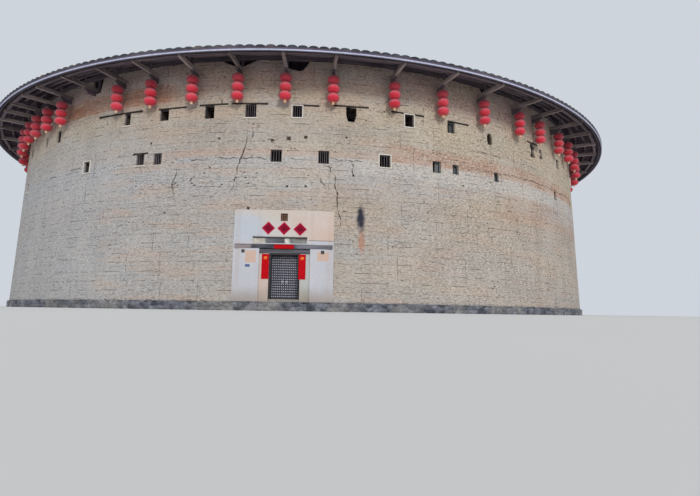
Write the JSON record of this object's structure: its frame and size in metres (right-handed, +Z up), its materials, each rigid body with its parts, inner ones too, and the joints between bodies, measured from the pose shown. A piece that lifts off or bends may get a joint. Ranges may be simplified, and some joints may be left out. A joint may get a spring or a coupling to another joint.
{
  "type": "tulou roundhouse, half-size scale model",
  "caption": "Round rammed-earth house, ring-shaped round an open courtyard, with tiled eaves, hanging lanterns and a double-leaf door. Half-size model.",
  "frame": {"origin": "centre of the ring at ground level, under the plinth", "axes": "+Z up; the door faces -Y; +X is to the right of someone facing the door"},
  "size_m": [28.56, 28.56, 8.3901],
  "materials": {
    "rammed_earth": "matte",
    "cobbles": "matte",
    "packed_earth": "matte",
    "lime_plaster": "matte",
    "painted_board": "matte",
    "door_stone": "matte",
    "weathered_timber": "matte",
    "dark_timber": "matte",
    "door_timber": "satin",
    "pale_board": "matte",
    "clay_tiles": "matte",
    "lantern_silk": "satin"
  },
  "bodies": {
    "building": {"plinth": "cobbles", "ground_floor": "packed_earth", "wall_front_left": "rammed_earth", "wall_front_right": "rammed_earth", "wall_over_door": "rammed_earth", "wall_right_front": "rammed_earth", "wall_right": "rammed_earth", "wall_right_back": "rammed_earth", "wall_back": "rammed_earth", "wall_left_back": "rammed_earth", "wall_left": "rammed_earth", "wall_left_front": "rammed_earth", "door_threshold": "door_stone", "door_frame": "dark_timber", "door_lintel": "dark_timber", "portal_beam": "dark_timber", "portal_plaster": "lime_plaster", "name_board": "painted_board", "gallery_floor_2": "weathered_timber", "gallery_floor_3": "weathered_timber", "gallery_floor_4": "weathered_timber", "gallery_parapet_2": "weathered_timber", "gallery_parapet_3": "weathered_timber", "gallery_parapet_4": "weathered_timber", "gallery_posts_front": "weathered_timber", "gallery_posts_right": "weathered_timber", "gallery_posts_back": "weathered_timber", "gallery_posts_left": "weathered_timber", "roof_beams_front": "weathered_timber", "roof_beams_right": "weathered_timber", "roof_beams_back": "weathered_timber", "roof_beams_left": "weathered_timber", "roof_outer_front": "clay_tiles", "roof_outer_right": "clay_tiles", "roof_outer_back": "clay_tiles", "roof_outer_left": "clay_tiles", "roof_inner_front": "clay_tiles", "roof_inner_back": "clay_tiles", "roof_ridge": "clay_tiles", "eave_fascia": "pale_board", "lanterns_front": "lantern_silk", "lanterns_right": "lantern_silk", "lanterns_back": "lantern_silk", "lanterns_left": "lantern_silk"},
    "left_leaf": {"door_leaf_left": "door_timber"},
    "right_leaf": {"door_leaf_right": "door_timber"}
  },
  "joints": [
    {"name": "left_leaf_hinge", "type": "hinge", "parent": "building", "child": "left_leaf", "pos_m": [-0.385, -12.8975, 0.9], "axis": [0, 0, 1], "range_deg": [0, 90]},
    {"name": "right_leaf_hinge", "type": "hinge", "parent": "building", "child": "right_leaf", "pos_m": [0.385, -12.8975, 0.9], "axis": [0, 0, -1], "range_deg": [0, 90]}
  ]
}
